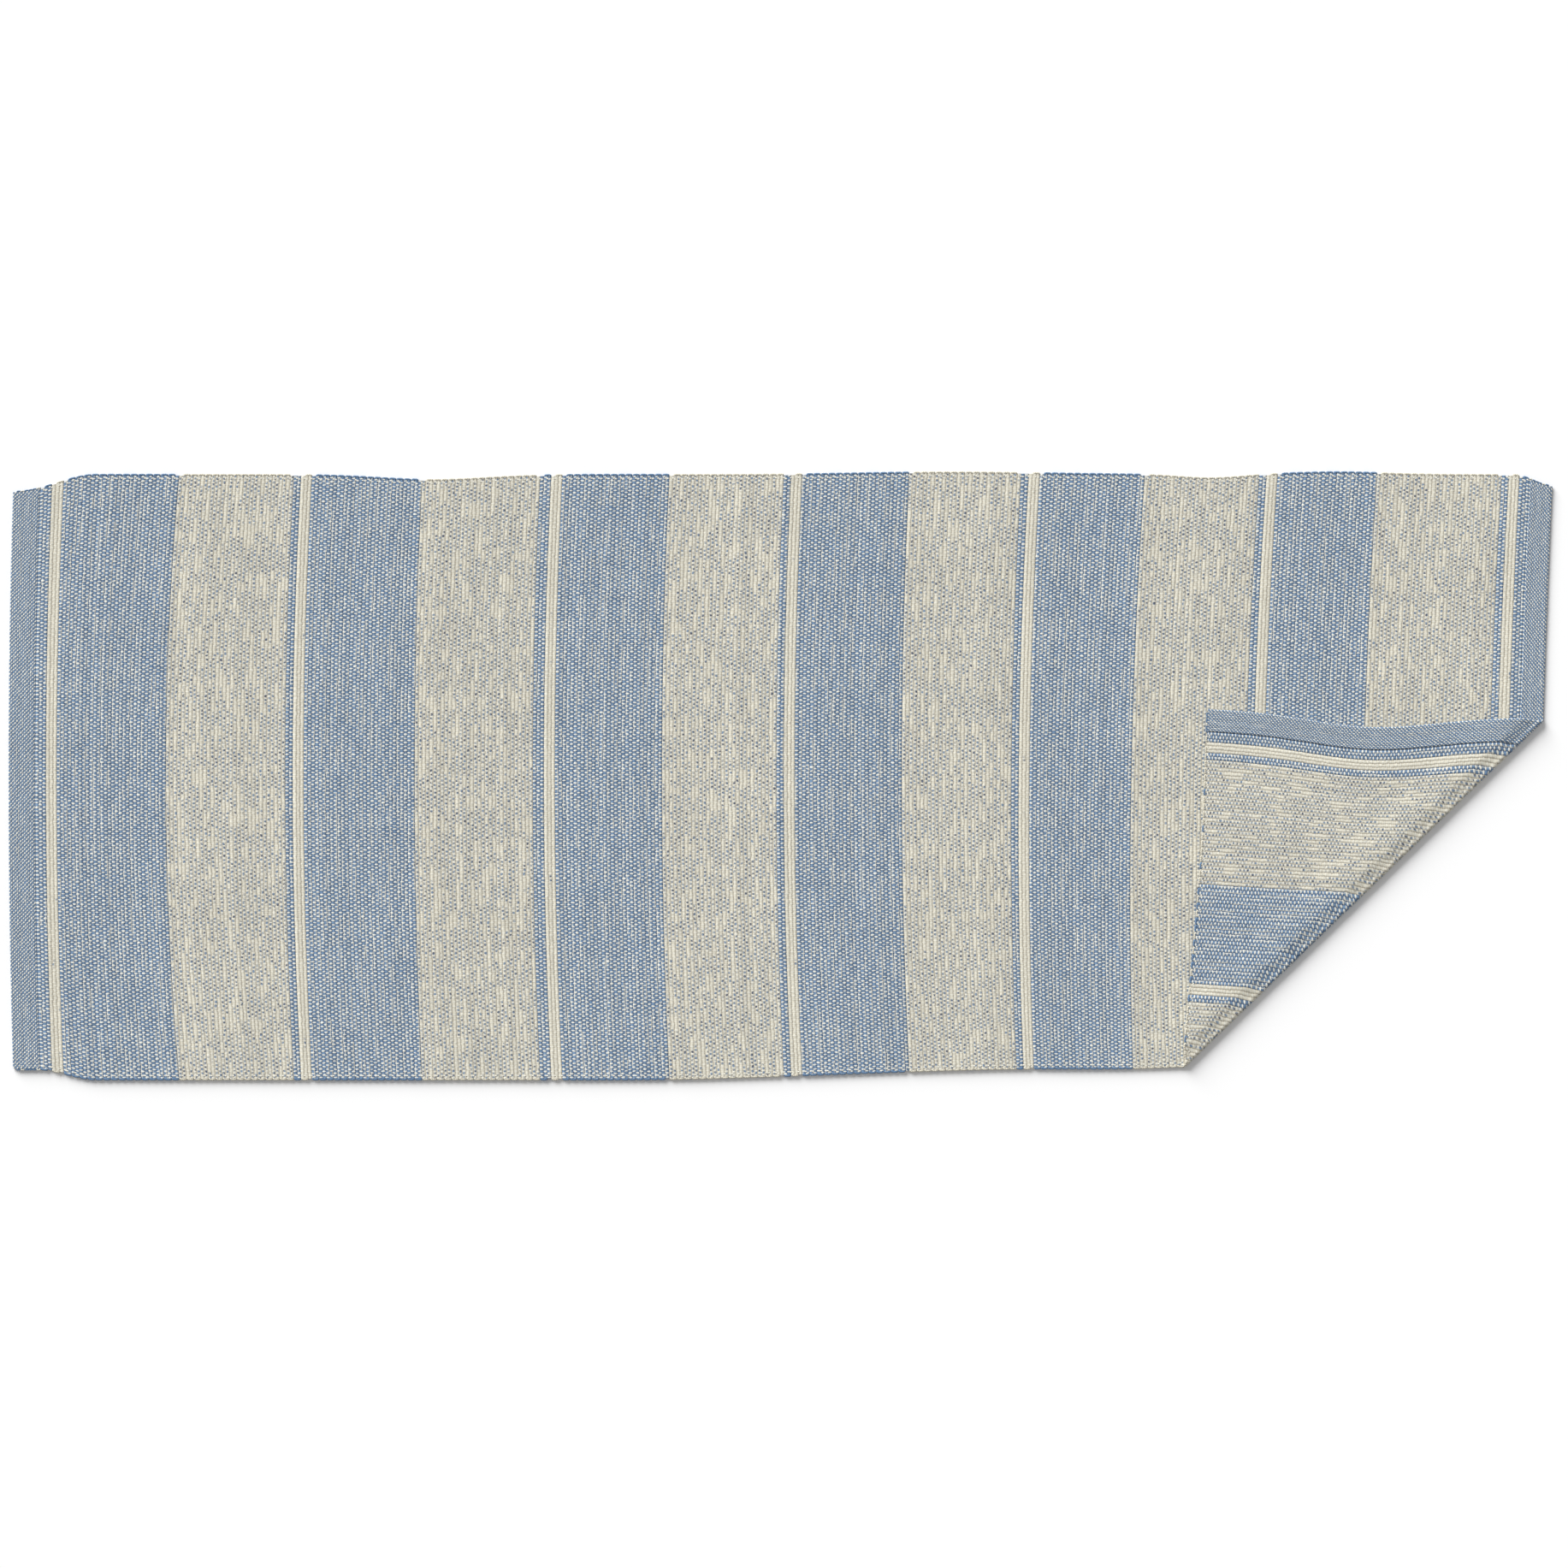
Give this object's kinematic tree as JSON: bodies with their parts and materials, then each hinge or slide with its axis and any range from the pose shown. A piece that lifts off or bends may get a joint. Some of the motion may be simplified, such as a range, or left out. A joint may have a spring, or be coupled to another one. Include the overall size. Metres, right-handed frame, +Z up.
{
  "type": "runner rug",
  "caption": "Flat-woven cotton runner rug with crosswise blue and cream bands, turned hems and one corner folded back over its face",
  "frame": {"origin": "middle of the underside, on the floor", "axes": "X along the length, Y across the width, Z up out of the face"},
  "size_m": [1.8292, 0.72, 0.011],
  "materials": {
    "blue_weft": "matte flat weave, blue weft under a cream warp",
    "cream_weft": "matte flat weave, cream weft with a stray blue strand",
    "hem_weave": "matte fine weave, thin blue weft, two plies",
    "selvedge_yarn": "matte bundled warp with weft turned round it",
    "sewing_thread": "matte twisted cotton thread"
  },
  "bodies": {
    "left_inner_panel": {"blue_band_2_inner": "blue_weft", "blue_band_3": "blue_weft", "blue_pin_2": "blue_weft", "cream_band_2": "cream_weft", "cream_band_3": "cream_weft", "cream_pin_3": "cream_weft", "selvedge_back_left_inner": "selvedge_yarn", "selvedge_front_left_inner": "selvedge_yarn"},
    "left_outer_panel": {"blue_band_1": "blue_weft", "blue_band_2_outer": "blue_weft", "blue_edge_left": "blue_weft", "blue_pin_1": "blue_weft", "cream_band_1": "cream_weft", "cream_pin_1": "cream_weft", "cream_pin_2": "cream_weft", "hem_left": "hem_weave", "hem_thread_left": "sewing_thread", "selvedge_back_left_outer": "selvedge_yarn", "selvedge_front_left_outer": "selvedge_yarn"},
    "right_inner_panel": {"blue_band_4": "blue_weft", "blue_band_5": "blue_weft", "blue_pin_3": "blue_weft", "blue_pin_4": "blue_weft", "cream_band_4": "cream_weft", "cream_band_5_inner": "cream_weft", "cream_pin_4": "cream_weft", "cream_pin_5": "cream_weft", "selvedge_back_right_inner": "selvedge_yarn", "selvedge_front_right_inner": "selvedge_yarn"},
    "right_outer_panel": {"blue_band_6": "blue_weft", "blue_edge_right": "blue_weft", "blue_pin_5": "blue_weft", "blue_pin_6": "blue_weft", "cream_band_5_outer": "cream_weft", "cream_band_6": "cream_weft", "cream_pin_6": "cream_weft", "cream_pin_7": "cream_weft", "hem_right": "hem_weave", "hem_thread_right": "sewing_thread", "selvedge_back_right_outer": "selvedge_yarn", "selvedge_front_right_outer": "selvedge_yarn"},
    "turned_corner": {"blue_band_6_corner": "blue_weft", "blue_edge_right_corner": "blue_weft", "blue_pin_5_corner": "blue_weft", "blue_pin_6_corner": "blue_weft", "cream_band_5_corner": "cream_weft", "cream_band_6_corner": "cream_weft", "cream_pin_6_corner": "cream_weft", "cream_pin_7_corner": "cream_weft", "hem_right_corner": "hem_weave", "hem_thread_right_corner": "sewing_thread", "selvedge_front_corner": "selvedge_yarn"}
  },
  "joints": [
    {"name": "left_fold", "type": "hinge", "parent": "left_inner_panel", "child": "left_outer_panel", "pos_m": [-0.46209, 0, 0.0055], "axis": [0, 1, 0], "range_deg": [0, 179.99]},
    {"name": "half_fold", "type": "hinge", "parent": "left_inner_panel", "child": "right_inner_panel", "pos_m": [-0.00219, 0, 0.0145], "axis": [0, -1, 0], "range_deg": [0, 179.99]},
    {"name": "right_fold", "type": "hinge", "parent": "right_inner_panel", "child": "right_outer_panel", "pos_m": [0.45771, 0, 0.0085], "axis": [0, -1, 0], "range_deg": [0, 179.99]},
    {"name": "corner_fold", "type": "hinge", "parent": "right_outer_panel", "child": "turned_corner", "pos_m": [0.46171, -0.36, 0.0055], "axis": [0.7193, 0.6947, 0], "range_deg": [0, 179.5]}
  ]
}
